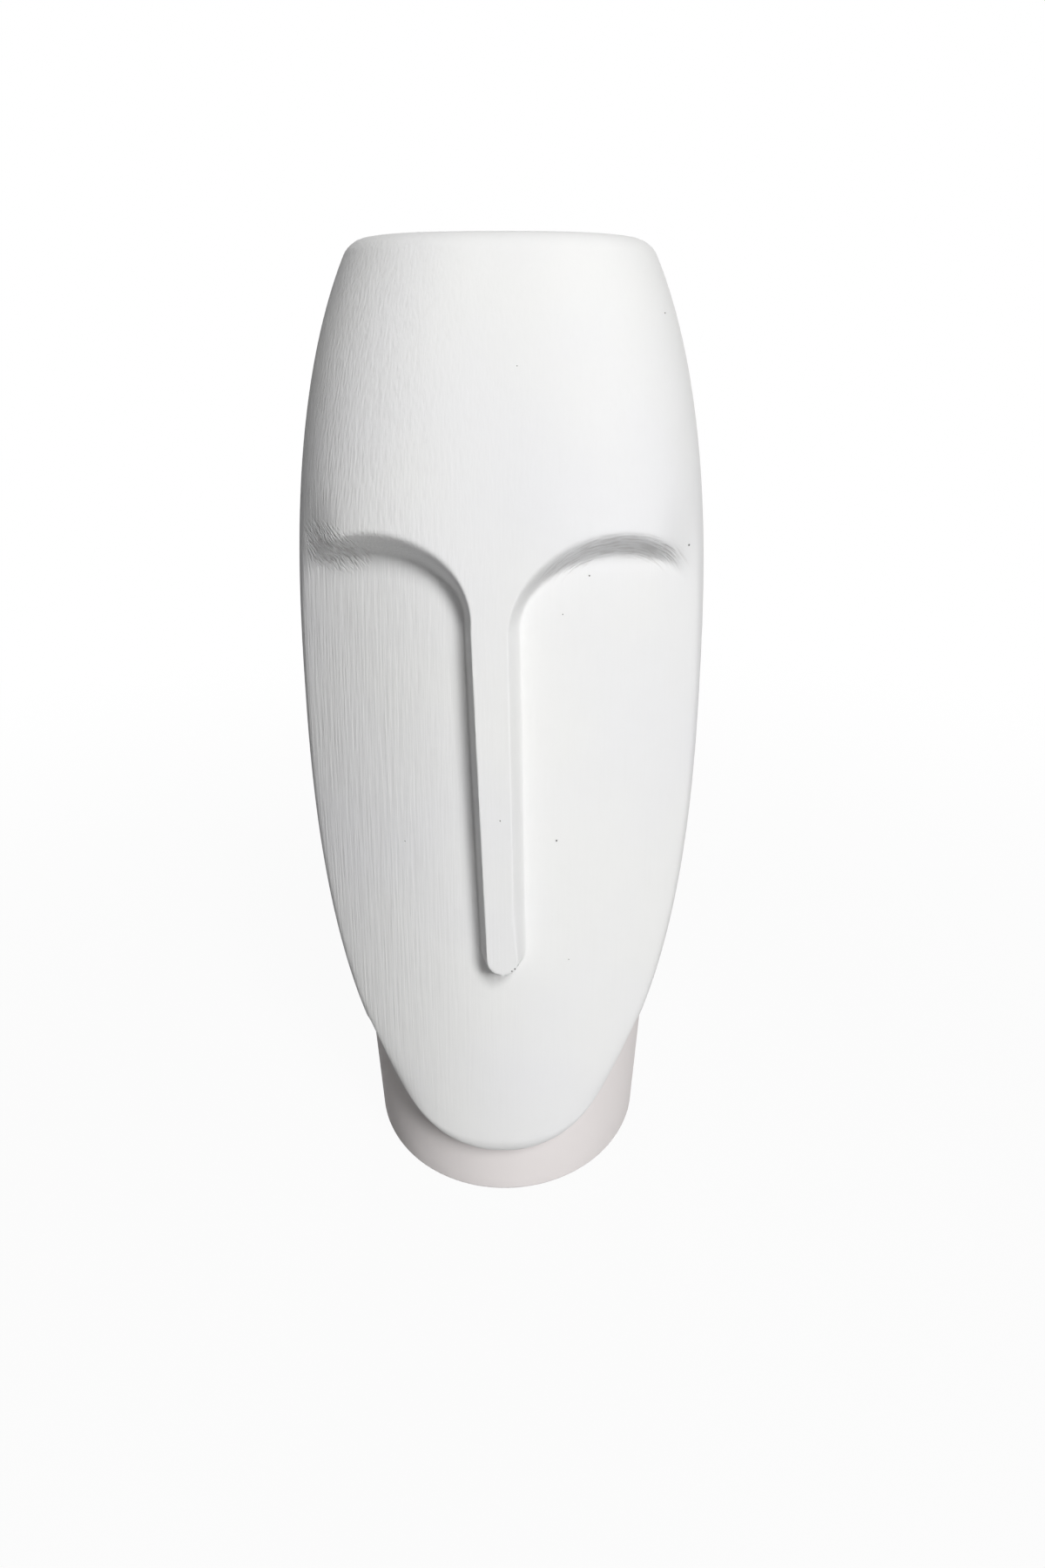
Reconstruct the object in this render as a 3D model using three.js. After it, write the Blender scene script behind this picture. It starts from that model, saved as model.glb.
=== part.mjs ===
// Ceramic face vase: a hollow cast head on a short neck, glazed inside, standing on four pads.
// Millimetres, +Z up, the face looks along -Y, the underside of the pads is at z = 0.
import * as THREE from 'three';
import { mergeVertices } from 'three/addons/utils/BufferGeometryUtils.js';

// Overall form of the head.
const VASE_HEIGHT = 300;
const HEAD_HALF_WIDTH = 63.1;
const WIDEST_HEIGHT = 180;
const RIM_HALF_WIDTH = 43.1;
const NOSE_REACH = 79;
const NOSE_PEAK_HEIGHT = 120;
const RIM_FRONT_REACH = 54;
const CHIN_SETBACK = 3;
const BACK_REACH = 72;
const BACK_PEAK_HEIGHT = 165;
const RIM_BACK_REACH = 54;
const NAPE_REACH = 46;
const CHIN_HEIGHT = 27;
const CHIN_HALF_WIDTH = 22;

// Jaw: the rolled edge where the head stands out over the neck, a U round the chin, level along the sides.
// The turn is in degrees from the front; the tangent and the ease are shares of the U.
const JAW_TURN = 37;
const JAW_TANGENT = 0.93;
const JAW_EASE = 0.12;
const JAW_ROLL = 3;
const CHIN_ROLL = 7;
const CHIN_UNDERSIDE = 5;
const NAPE_DROP = 7;

// Height below which the sides of the head run straight, and height that the inside takes to open out.
const JAW_LINE = 55;
const JAW_SLOPE = 16.5;

// How square the plan and the side curves are; 2 is an ellipse.
const PLAN_FULLNESS_RIM = 2.5;
const PLAN_FULLNESS_CHIN = 3.2;
const PLAN_FULLNESS_BACK = 2.2;
const SIDE_FULLNESS_UPPER = 2.4;
const SIDE_FULLNESS_LOWER = 2.5;

// Bowed face surface that the cheeks and the chin lie on.
const CHEEK_REACH = 70.8;
const CHEEK_PEAK_HEIGHT = 75;
const CHEEK_BOW_ACROSS = 65;
const CHEEK_BOW_DOWN = 2300;

// Brows and nose that stand proud of the cheeks.
const BROW_OFFSET = 32;
const BROW_HEIGHT = 202.5;
const BROW_RISE = 25;
const BROW_COVE = 8;
const NOSE_RIDGE_HALF_WIDTH = 5.3;
const NOSE_TAPER = 0.9;
const NOSE_FLANK = 2.5;
const NOSE_TIP_HEIGHT = 98.5;
const NOSE_TIP_SQUARENESS = 2.4;
const NOSE_TOP_SHIFT = -1.4;
const NOSE_TIP_SHIFT = 1.1;
const COVE_SHAPE = 1.4;

// Temples, where the brows run out into the cheeks.
const TEMPLE_INNER = 42;
const TEMPLE_OUTER = 56;
const TEMPLE_LOW = 204;
const TEMPLE_HIGH = 244;

// Neck and foot.
const FOOT_HALF_WIDTH = 48;
const FOOT_HALF_DEPTH = 59.8;
const NECK_HALF_WIDTH = 51.7;
const NECK_HALF_DEPTH = 60.2;
const NECK_TOP = 64;
const FOOT_CHAMFER = 1.2;
const FOOT_RING = 18;
const FOOT_RECESS = 3;

// Wall, floor, glaze and pads.
const WALL = 5.5;
const FLOOR = 7;
const FLOOR_FILLET = 9;
const GLAZE = 0.7;
const GLAZE_BED = 0.3;
const GLAZE_DROP = 7;
const PAD_DIAMETER = 12;
const PAD_THICKNESS = 1;
const PAD_EDGE = 0.2;
const PAD_BEARING = 42;

// Sizes that follow from the ones above.
const SOLE = PAD_THICKNESS;
const WELL = SOLE + FOOT_RECESS + FLOOR;
const LIP_OUTSIDE = WALL * 0.72;
const LIP_INSIDE = WALL * 0.2;
const DEPTH_SHIFT = (NOSE_REACH - BACK_REACH) / 2;
const TIP_CENTRE = NOSE_TIP_HEIGHT + NOSE_RIDGE_HALF_WIDTH;
const NOSE_END = NOSE_TIP_HEIGHT - NOSE_FLANK;
const CHIN_EDGE = CHIN_HEIGHT - CHIN_UNDERSIDE;
const NOSE_COLUMNS = 11.6;

const { degToRad: rad, radToDeg, clamp, euclideanModulo, mapLinear, smoothstep } = THREE.MathUtils;

// Half of an egg curve: full reach at the peak height, a given reach at another height.
function eggCurve(peak, peakHeight, end, endHeight, fullness) {
  const share = (1 - (end / peak) ** fullness) ** (1 / fullness);
  const span = Math.abs(endHeight - peakHeight) / share;
  return (z) => {
    const s = Math.min(Math.abs(z - peakHeight) / span, 0.9999);
    return peak * (1 - s ** fullness) ** (1 / fullness);
  };
}

// Two egg curves that meet at the peak.
function sideCurve(peak, peakHeight, top, bottom, upper, lower) {
  const above = eggCurve(peak, peakHeight, top, VASE_HEIGHT, upper);
  const below = eggCurve(peak, peakHeight, bottom, CHIN_HEIGHT, lower);
  return (z) => (z > peakHeight ? above(z) : below(z));
}

const headWidthCurve = sideCurve(HEAD_HALF_WIDTH, WIDEST_HEIGHT, RIM_HALF_WIDTH, CHIN_HALF_WIDTH,
  SIDE_FULLNESS_UPPER, SIDE_FULLNESS_LOWER);
const headFront = sideCurve(NOSE_REACH, NOSE_PEAK_HEIGHT, RIM_FRONT_REACH, NOSE_REACH - CHIN_SETBACK,
  SIDE_FULLNESS_UPPER, SIDE_FULLNESS_UPPER);
const headBack = sideCurve(BACK_REACH, BACK_PEAK_HEIGHT, RIM_BACK_REACH, NAPE_REACH,
  SIDE_FULLNESS_UPPER, SIDE_FULLNESS_UPPER);

// Half width of the head, which runs on straight below the jaw line.
function headHalfWidth(z) {
  const slope = (headWidthCurve(JAW_LINE + 0.5) - headWidthCurve(JAW_LINE)) / 0.5;
  return headWidthCurve(Math.max(z, JAW_LINE)) - slope * Math.max(JAW_LINE - z, 0);
}

function planFullness(z) {
  const t = clamp((VASE_HEIGHT - z) / (VASE_HEIGHT - CHIN_HEIGHT), 0, 1);
  return PLAN_FULLNESS_RIM + (PLAN_FULLNESS_CHIN - PLAN_FULLNESS_RIM) * t;
}

// Radius of the egg-shaped head in one bearing; bearing 0 is the front.
function eggRadius(bearing, z) {
  const front = Math.cos(bearing) > 0;
  const m = front ? planFullness(z) : PLAN_FULLNESS_BACK;
  const reach = front ? headFront(z) : headBack(z);
  const across = Math.abs(Math.sin(bearing)) / headHalfWidth(z);
  const along = Math.abs(Math.cos(bearing)) / reach;
  return 1 / (across ** m + along ** m) ** (1 / m);
}

// Radius of the bowed face surface in one bearing.
function cheekRadius(bearing, z) {
  const c = Math.cos(bearing);
  if (c <= 0) return Infinity;
  const reach = CHEEK_REACH - (z - CHEEK_PEAK_HEIGHT) ** 2 / (2 * CHEEK_BOW_DOWN);
  const s = Math.sin(bearing) ** 2 / CHEEK_BOW_ACROSS;
  return s < 1e-9 ? reach / c : (Math.sqrt(c * c + 2 * reach * s) - c) / s;
}

// Radius of the oval neck.
function neckRadius(bearing, z) {
  const t = clamp((z - SOLE) / (NECK_TOP - SOLE), 0, 1);
  const w = FOOT_HALF_WIDTH + (NECK_HALF_WIDTH - FOOT_HALF_WIDTH) * t;
  const d = FOOT_HALF_DEPTH + (NECK_HALF_DEPTH - FOOT_HALF_DEPTH) * t;
  return 1 / Math.hypot(Math.sin(bearing) / w, Math.cos(bearing) / d);
}

// Degrees from the front to a column, on either side.
const turnOf = (column) => radToDeg(Math.abs(euclideanModulo(column + Math.PI, 2 * Math.PI) - Math.PI));

// Height of the jaw's edge in one column: an elliptic U that goes over into a level line, lower at the nape.
function jawHeight(column) {
  const t = turnOf(column) / JAW_TURN;
  const curve = 1 - Math.sqrt(1 - Math.min(t, JAW_TANGENT) ** 2);
  const straight = Math.max(t - JAW_TANGENT, 0) * JAW_TANGENT / Math.sqrt(1 - JAW_TANGENT ** 2);
  const u = curve + straight;
  const rise = (u + 1 - Math.hypot(u - 1, JAW_EASE)) / 2;
  return CHIN_EDGE + (NECK_TOP - CHIN_EDGE) * rise - NAPE_DROP * smoothstep(turnOf(column), 80, 180);
}

// How far the head has rolled out over the neck: 0 at the jaw's edge, 1 past the roll.
function jawRoll(column, z) {
  const roll = JAW_ROLL + (CHIN_ROLL - JAW_ROLL) * clamp(1 - turnOf(column) / JAW_TURN, 0, 1);
  const step = 0.002;
  const slope = (jawHeight(column + step) - jawHeight(column - step)) / (2 * step * CHEEK_REACH);
  const away = (z - jawHeight(column)) / Math.hypot(1, slope);
  return Math.sqrt(1 - (1 - clamp(away / roll, 0, 1)) ** 2);
}

// Neck with the head standing out over it by a share, without the brows and the nose.
function formRadius(bearing, z, share) {
  const neck = neckRadius(bearing, z);
  const head = Math.min(eggRadius(bearing, z), cheekRadius(bearing, z));
  return share === 1 ? head : neck + Math.max(head - neck, 0) * share;
}

// Sideways place of the nose's middle line at one height; it fades out above the brows and below the tip.
function noseMiddle(z) {
  const aboveBrows = clamp((z - BROW_HEIGHT) / (BROW_RISE * 0.7), 0, 1);
  const belowTip = clamp((NOSE_TIP_HEIGHT - z) / (NOSE_TIP_HEIGHT - CHIN_HEIGHT), 0, 1);
  if (aboveBrows > 0) return NOSE_TOP_SHIFT * (1 - aboveBrows);
  if (belowTip > 0) return NOSE_TIP_SHIFT * (1 - belowTip);
  const t = (BROW_HEIGHT - z) / (BROW_HEIGHT - NOSE_TIP_HEIGHT);
  return NOSE_TOP_SHIFT + (NOSE_TIP_SHIFT - NOSE_TOP_SHIFT) * t;
}

// 1 on the forehead, the brows and the nose, 0 on the cheeks; the cove between them fades at the temples.
function proud(x, z) {
  const down = clamp((BROW_HEIGHT - z) / (BROW_HEIGHT - NOSE_TIP_HEIGHT), 0, 1);
  const side = Math.abs(x - noseMiddle(z)) + NOSE_TAPER * down;
  const below = Math.max(TIP_CENTRE - z, 0);
  const away = (side ** NOSE_TIP_SQUARENESS + below ** NOSE_TIP_SQUARENESS) ** (1 / NOSE_TIP_SQUARENESS);
  const across = away < BROW_OFFSET ? BROW_OFFSET - away : Math.max(side - BROW_OFFSET, 0);
  const up = Math.max(z - BROW_HEIGHT, 0);
  const outerWidth = BROW_OFFSET - NOSE_RIDGE_HALF_WIDTH;
  const outer = Math.hypot(across / outerWidth, up / BROW_RISE);
  const inner = Math.hypot(across / (outerWidth - NOSE_FLANK), up / (BROW_RISE - BROW_COVE));
  const u = inner > outer ? clamp((1 - outer) / (inner - outer), 0, 1) : 1;
  const sideways = smoothstep(Math.abs(x), TEMPLE_INNER, TEMPLE_OUTER);
  const temple = sideways * (1 - smoothstep(z, TEMPLE_LOW, TEMPLE_HIGH));
  return (1 - u ** COVE_SHAPE) * (1 - temple);
}

// Bearing in degrees of the edge where the cheek surface meets the egg, at one height.
function cheekEdge(z) {
  let low = 20;
  let high = 80;
  for (let i = 0; i < 24; i++) {
    const middle = (low + high) / 2;
    if (eggRadius(rad(middle), z) > cheekRadius(rad(middle), z)) low = middle;
    else high = middle;
  }
  return low;
}
const EDGE_COLUMN = cheekEdge(NECK_TOP);

// Bearing of a column at one height: above the neck the columns spread out with the cheek's edge.
function bearingOf(column, z) {
  const turn = turnOf(column);
  if (turn <= NOSE_COLUMNS || turn >= 90) return column;
  const edge = cheekEdge(clamp(z, NECK_TOP, BROW_HEIGHT));
  const spread = turn < EDGE_COLUMN
    ? mapLinear(turn, NOSE_COLUMNS, EDGE_COLUMN, NOSE_COLUMNS, edge)
    : mapLinear(turn, EDGE_COLUMN, 90, edge, 90);
  return rad(Math.sin(column) < 0 ? -spread : spread);
}

// Point on the outside of the vase, drawn in by an inset.
function outsidePoint(column, z, inset = 0) {
  const lean = Math.max(Math.cos(column), 0) * noseMiddle(z) / CHEEK_REACH;
  const bearing = bearingOf(column, z) + lean;
  const r = formRadius(bearing, z, jawRoll(column, z));
  const x = r * Math.sin(bearing);
  let y = -r * Math.cos(bearing);
  if (y < 0 && z > NOSE_END) {
    const m = planFullness(z);
    const brow = -headFront(z) * Math.max(1 - (Math.abs(x) / headHalfWidth(z)) ** m, 0) ** (1 / m);
    y += proud(x, z) * (Math.min(brow, y) - y);
  }
  const shrink = 1 - inset / Math.hypot(x, y);
  return new THREE.Vector3(x * shrink, y * shrink, z);
}

// Point on the inside of the wall, drawn in further by an inset.
// The inside follows the neck, the cheeks above the jaw, and opens out to the forehead above the brows.
function insidePoint(column, z, inset = 0) {
  const jaw = jawHeight(column) + WALL;
  const cheek = formRadius(column, z, smoothstep(z, jaw, jaw + JAW_SLOPE));
  const forehead = clamp((z - BROW_HEIGHT - BROW_RISE) / BROW_RISE, 0, 1);
  const r = cheek + forehead * Math.max(eggRadius(column, z) - cheek, 0) - WALL - inset;
  return new THREE.Vector3(r * Math.sin(column), -r * Math.cos(column), z);
}

// Bearings of the columns, closer together at the nose and with one along the cheek's edge.
const halfColumns = [2.1, 4.4, 5.4, 6.4, 8.6, NOSE_COLUMNS, 13.5, 15.5, 17.5, 19.5, 21.5, 23.5, 25.5, 27.5,
  29.5, 31.5, 33.5, 35.8, EDGE_COLUMN, 41, 45, 50, 55, 60, 66, 73, 81, 90, 100, 110, 120, 130, 140,
  150, 160, 170];
const outsideColumns = [0, ...halfColumns, 180, ...halfColumns.map((a) => 360 - a).reverse()].map(rad);
const insideColumns = Array.from({ length: 30 }, (_, i) => rad(12 * i));

// Evenly spaced values from one value up to, but not at, another.
const steps = (from, to, count) => Array.from({ length: count }, (_, i) => from + ((to - from) * i) / count);

// Ring of points around the vase with its bearings; its height is a number, or a function of the column.
function ring(columns, bearing, point, height, inset) {
  const heights = columns.map((a) => (typeof height === 'number' ? height : height(a)));
  return {
    columns,
    bearings: columns.map((a, i) => euclideanModulo(bearing(a, heights[i]), 2 * Math.PI)),
    points: columns.map((a, i) => point(a, heights[i], inset)),
  };
}
const outsideRing = (height, inset) => ring(outsideColumns, bearingOf, outsidePoint, height, inset);
const insideRing = (height, inset) => ring(insideColumns, (a) => a, insidePoint, height, inset);

// Height in each column at a share of the way between two heights.
const between = (low, high, share) => (column) => low(column) + (high(column) - low(column)) * share;
const level = (z) => () => z;

// Rings down the inside of the wall to the floor, drawn in and lifted; at the jaw they follow its edge.
function insideRings(inset, lift) {
  const jawLow = (column) => jawHeight(column) + WALL;
  const jawHigh = (column) => jawLow(column) + JAW_SLOPE;
  const low = level(WELL + FLOOR_FILLET + GLAZE);
  const heights = [
    ...steps(VASE_HEIGHT - GLAZE_DROP, NECK_TOP + WALL + JAW_SLOPE, 8).map(level),
    ...[1, 0.75, 0.5, 0.25, 0].map((t) => between(jawLow, jawHigh, t)), between(low, jawLow, 0.5),
  ];
  const fillet = [0, 30, 60, 90].map((a) => insideRing(
    WELL + lift + FLOOR_FILLET * (1 - Math.sin(rad(a))), inset + FLOOR_FILLET * (1 - Math.cos(rad(a)))));
  return [...heights.map((height) => insideRing(height, inset)), ...fillet];
}

// Triangles of the band between two rings, column by column, or by their bearings where the columns differ.
// Patches are split the same way whether a surface runs up or down, so that nested surfaces stay nested.
function band(index, a, b) {
  const key = a.columns === b.columns ? 'columns' : 'bearings';
  const turn = (loop, i) => (i < loop.count ? loop[key][i] : 2 * Math.PI);
  const upperFirst = a.height > b.height ? 1e-9 : -1e-9;
  let i = 0;
  let j = 0;
  while (i < a.count || j < b.count) {
    if (j === b.count || (i < a.count && turn(a, i + 1) < turn(b, j + 1) + upperFirst)) {
      index.push(a.at(i), a.at(i + 1), b.at(j));
      i += 1;
    } else {
      index.push(a.at(i), b.at(j + 1), b.at(j));
      j += 1;
    }
  }
}

// Closed surface through a row of rings, with a point at each end.
function skin(first, rings, last) {
  const points = [first];
  const loops = rings.map(({ columns, bearings, points: loop }) => {
    const start = points.length;
    const count = columns.length;
    points.push(...loop);
    return { count, columns, bearings, height: loop[0].z, at: (i) => start + (i % count) };
  });
  points.push(last);
  const index = [];
  const { length } = loops;
  for (let j = 0; j < loops[0].count; j++) index.push(0, loops[0].at(j + 1), loops[0].at(j));
  for (let i = 0; i + 1 < length; i++) band(index, loops[i], loops[i + 1]);
  const top = loops[length - 1];
  for (let j = 0; j < top.count; j++) index.push(top.at(j), top.at(j + 1), points.length - 1);
  const geometry = new THREE.BufferGeometry();
  geometry.setAttribute('position', new THREE.Float32BufferAttribute(points.flatMap((p) => p.toArray()), 3));
  geometry.setIndex(index);
  geometry.computeVertexNormals();
  return geometry;
}

// Rings up the outside, with the rows closer together at the jaw, the nose tip and the brows.
function outsideRings() {
  const browTop = BROW_HEIGHT + BROW_RISE * 1.15;
  const lipStart = VASE_HEIGHT - LIP_OUTSIDE;
  const heights = [
    ...steps(0, 1, 4).map((t) => between(level(SOLE + FOOT_CHAMFER), jawHeight, t)),
    ...[0, 0.01, 0.035, 0.075, 0.13, 0.24, 0.4, 0.6, 0.8].map((t) => between(jawHeight, level(NOSE_END), t)),
    ...[
      ...steps(NOSE_END, TIP_CENTRE, 4), ...steps(TIP_CENTRE, BROW_HEIGHT, 8),
      ...steps(BROW_HEIGHT, browTop, 16), ...steps(browTop, lipStart, 6), lipStart,
    ].map(level),
  ];
  return heights.map((height) => outsideRing(height));
}

// Rings over the rounded lip, from the outside to the inside.
function lipRings() {
  const outer = [30, 60, 90].map(rad).map((a) => outsideRing(
    VASE_HEIGHT - LIP_OUTSIDE * (1 - Math.sin(a)), LIP_OUTSIDE * (1 - Math.cos(a))));
  const inner = [90, 45, 0].map(rad).map((a) => insideRing(
    VASE_HEIGHT - LIP_INSIDE * (1 - Math.sin(a)), -LIP_INSIDE * (1 - Math.cos(a))));
  return [...outer, ...inner];
}

// Hollow cast body: sole, outside up, lip, inside down, floor.
function bodyGeometry() {
  const sole = (inset, z) => {
    const flat = outsideRing(SOLE, inset);
    return { ...flat, points: flat.points.map((p) => p.setZ(z)) };
  };
  const rings = [
    sole(FOOT_RING + FOOT_RECESS, SOLE + FOOT_RECESS), sole(FOOT_RING, SOLE), sole(FOOT_CHAMFER, SOLE),
    ...outsideRings(), ...lipRings(), ...insideRings(0, 0),
  ];
  return skin(new THREE.Vector3(0, 0, SOLE + FOOT_RECESS), rings, new THREE.Vector3(0, 0, WELL));
}

// Thin glass lining that follows the inside of the wall and the floor.
function liningGeometry() {
  const near = insideRings(GLAZE_BED, GLAZE_BED).reverse();
  const far = insideRings(GLAZE_BED + GLAZE, GLAZE_BED + GLAZE);
  const low = WELL + GLAZE_BED;
  return skin(new THREE.Vector3(0, 0, low), [...near, ...far], new THREE.Vector3(0, 0, low + GLAZE));
}

// Round self-adhesive pad with an eased lower edge.
function padGeometry() {
  const r = PAD_DIAMETER / 2;
  const profile = [[0, 0], [r - PAD_EDGE, 0], [r, PAD_EDGE], [r, PAD_THICKNESS], [0, PAD_THICKNESS]];
  const lathe = new THREE.LatheGeometry(profile.map(([x, y]) => new THREE.Vector2(x, y)), 28);
  lathe.rotateX(Math.PI / 2);
  lathe.deleteAttribute('normal');
  lathe.deleteAttribute('uv');
  const geometry = mergeVertices(lathe, 1e-4);
  geometry.computeVertexNormals();
  return geometry;
}

const stoneware = new THREE.MeshStandardMaterial({ color: 0xf0efed, roughness: 0.9 });
const glaze = new THREE.MeshStandardMaterial({ color: 0xf4f3ef, roughness: 0.15 });
const felt = new THREE.MeshStandardMaterial({ color: 0xd9d3c6, roughness: 1 });

const vase = new THREE.Group();
vase.name = 'face_vase';

function add(name, geometry, material) {
  const mesh = new THREE.Mesh(geometry, material);
  mesh.name = name;
  mesh.position.y = DEPTH_SHIFT;
  vase.add(mesh);
  return mesh;
}

add('ceramic_body', bodyGeometry(), stoneware);
add('glaze_lining', liningGeometry(), glaze);
for (const end of ['front', 'back']) {
  for (const side of ['left', 'right']) {
    const turn = end === 'front' ? PAD_BEARING : 180 - PAD_BEARING;
    const bearing = rad(side === 'right' ? turn : -turn);
    const spot = outsidePoint(bearing, SOLE, (FOOT_CHAMFER + FOOT_RING) / 2);
    const pad = add(`foot_pad_${end}_${side}`, padGeometry(), felt);
    pad.position.x = spot.x;
    pad.position.y += spot.y;
  }
}

export default vase;
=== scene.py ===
"""Looks of the ceramic face vase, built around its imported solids.

Metres in Blender and for the studio, millimetres in the other classes. +Z is up, and the face looks along -Y.
"""
import logging
import math
from collections.abc import Sequence
from dataclasses import dataclass, field
from enum import Enum
from typing import Any

import bpy
import numpy as np
from mathutils import Matrix, Vector


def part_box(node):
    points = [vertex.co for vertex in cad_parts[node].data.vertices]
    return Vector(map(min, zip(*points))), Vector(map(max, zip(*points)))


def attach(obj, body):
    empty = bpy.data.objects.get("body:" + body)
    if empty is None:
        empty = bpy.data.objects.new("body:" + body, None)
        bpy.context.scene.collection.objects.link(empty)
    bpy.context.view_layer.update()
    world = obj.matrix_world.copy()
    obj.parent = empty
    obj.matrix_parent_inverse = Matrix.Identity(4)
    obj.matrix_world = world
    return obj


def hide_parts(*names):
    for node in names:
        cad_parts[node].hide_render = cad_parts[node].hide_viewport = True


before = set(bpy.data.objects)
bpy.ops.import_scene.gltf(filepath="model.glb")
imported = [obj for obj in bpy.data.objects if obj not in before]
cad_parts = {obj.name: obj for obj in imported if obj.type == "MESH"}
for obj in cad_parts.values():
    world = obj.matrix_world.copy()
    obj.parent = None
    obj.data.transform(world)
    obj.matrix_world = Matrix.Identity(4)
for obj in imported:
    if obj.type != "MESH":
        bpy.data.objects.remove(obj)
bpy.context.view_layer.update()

MM = 0.001
TINY = 1e-9
FAR = 1000.0
NEARLY_ONE = 0.9999
MERGE_DISTANCE = 1e-7
SKIN_CREASE = 60.0
WHITE = "#FFFFFF"
Array = np.ndarray
Pair = tuple[float, float]
Triple = tuple[float, float, float]
Run = tuple[float, float, int]
Tree = bpy.types.NodeTree
Socket = bpy.types.NodeSocket
Piece = bpy.types.Object
log = logging.getLogger("face_vase")


class Slot(Enum):
    """Material slots of the record."""

    STONEWARE = "stoneware"
    GLAZE = "glaze"
    FELT = "felt"


def linear(hex_colour: str) -> tuple[float, float, float, float]:
    """Turns an sRGB hex colour to linear.

    Args:
        hex_colour: Six hex digits with a leading hash.

    Returns:
        Linear red, green, blue and an alpha of one.
    """
    parts = [int(hex_colour[i:i + 2], 16) / 255 for i in (1, 3, 5)]
    red, green, blue = [c / 12.92 if c <= 0.04045 else ((c + 0.055) / 1.055) ** 2.4 for c in parts]
    return red, green, blue, 1.0


def add_node(tree: Tree, kind: str, settings: dict[str, Any] | None = None,
             inputs: dict[str | int, Any] | None = None) -> bpy.types.Node:
    """Adds one node with its settings, its values and its links.

    Args:
        tree: Node tree that takes the node.
        kind: Blender's name of the node type, without its leading ShaderNode.
        settings: Attributes to set on the node.
        inputs: Socket name or number, and either a value or an output socket to link.

    Returns:
        The new node.
    """
    node = tree.nodes.new("ShaderNode" + kind)
    for name, value in (settings or {}).items():
        setattr(node, name, value)
    for key, value in (inputs or {}).items():
        if isinstance(value, Socket):
            tree.links.new(value, node.inputs[key])
        else:
            node.inputs[key].default_value = value
    return node


def start_material(name: str) -> tuple[bpy.types.Material, Tree, bpy.types.Node, Socket]:
    """Starts a material whose patterns are laid out in millimetres.

    Args:
        name: Name of the material.

    Returns:
        The material, its node tree, its shader and the place in millimetres.
    """
    material = bpy.data.materials.new(name)
    material.use_nodes = True
    tree = material.node_tree
    where = add_node(tree, "TexCoord")
    place = add_node(tree, "VectorMath", {"operation": "SCALE"},
                     {0: where.outputs["Object"], "Scale": 1 / MM})
    return material, tree, tree.nodes["Principled BSDF"], place.outputs[0]


def grains(tree: Tree, place: Socket, cell: Sequence[float], detail: float = 1.0) -> Socket:
    """Adds an uneven pattern with grains of a given size.

    Args:
        tree: Node tree.
        place: Place in millimetres.
        cell: Size of one grain along each axis.
        detail: How many finer layers the pattern has.

    Returns:
        The pattern, which varies about a half.
    """
    laid = add_node(tree, "VectorMath", {"operation": "DIVIDE"}, {0: place, 1: tuple(cell)})
    noise = add_node(tree, "TexNoise", None,
                     {"Vector": laid.outputs[0], "Scale": 1.0, "Detail": detail})
    return noise.outputs["Fac"]


@dataclass(frozen=True)
class Fade:
    """A level that eases from one to another while a measured value passes between two ends."""

    value: Socket
    ends: Pair
    levels: Pair = (0.0, 1.0)


def faded(tree: Tree, amount: Socket | float, *fades: Fade) -> Socket | float:
    """Multiplies an amount by the level of each fade.

    Args:
        tree: Node tree.
        amount: Amount, or 1 for the levels alone.
        fades: Fades to apply.

    Returns:
        The product.
    """
    for fade in fades:
        level = add_node(tree, "MapRange", {"interpolation_type": "SMOOTHSTEP"},
                         {"Value": fade.value, "From Min": fade.ends[0], "From Max": fade.ends[1],
                          "To Min": fade.levels[0], "To Max": fade.levels[1]})
        amount = add_node(tree, "Math", {"operation": "MULTIPLY"},
                          {0: amount, 1: level.outputs[0]}).outputs[0]
    return amount


def eye_rays(tree: Tree) -> Socket:
    """Tells what the eye sees from what only lights the vase.

    Args:
        tree: Node tree of the material or of the surroundings.

    Returns:
        1 for what is seen directly, in a gloss or through glass, and 0 for the rest.
    """
    rays = add_node(tree, "LightPath")
    seen = rays.outputs["Is Camera Ray"]
    for kind in ("Is Glossy Ray", "Is Transmission Ray"):
        seen = add_node(tree, "Math", {"operation": "MAXIMUM"},
                        {0: seen, 1: rays.outputs[kind]}).outputs[0]
    return seen


def select_only(piece: Piece) -> None:
    """Makes one object the only selected and active one.

    Args:
        piece: Object to select.
    """
    bpy.ops.object.select_all(action="DESELECT")
    piece.select_set(True)
    bpy.context.view_layer.objects.active = piece


def spread(*stops: Run) -> Array:
    """Joins evenly spaced runs of values.

    Args:
        stops: First value, end value and number of steps of each run; the end belongs to the next run.

    Returns:
        All values, with the very last end added.
    """
    runs = [np.linspace(a, b, n, endpoint=False) for a, b, n in stops]
    return np.concatenate([*runs, [stops[-1][1]]])


def share(value: Array, start: Array | float, end: Array | float) -> Array:
    """Share of the way from a start to an end, kept between 0 and 1."""
    return np.clip((value - start) / (end - start), 0, 1)


def eased(value: Array, start: Array | float, end: Array | float) -> Array:
    """The same share, eased at both ends."""
    t = share(value, start, end)
    return t * t * (3 - 2 * t)


def soft_min(a: Array, b: Array, ease: Array | float) -> Array:
    """Smaller of two values with the change-over eased."""
    return 0.5 * (a + b - np.sqrt((a - b) ** 2 + np.square(ease)))


def turn_from_front(column: Array) -> Array:
    """Turn of a column away from the front to either side, in degrees."""
    return np.degrees(np.abs(np.mod(column + np.pi, 2 * np.pi) - np.pi))


def swing(first: Vector, second: Vector, angle: float) -> tuple[Vector, Vector]:
    """Turns two square directions in their own plane."""
    c, s = math.cos(angle), math.sin(angle)
    return first * c + second * s, second * c - first * s


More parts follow.
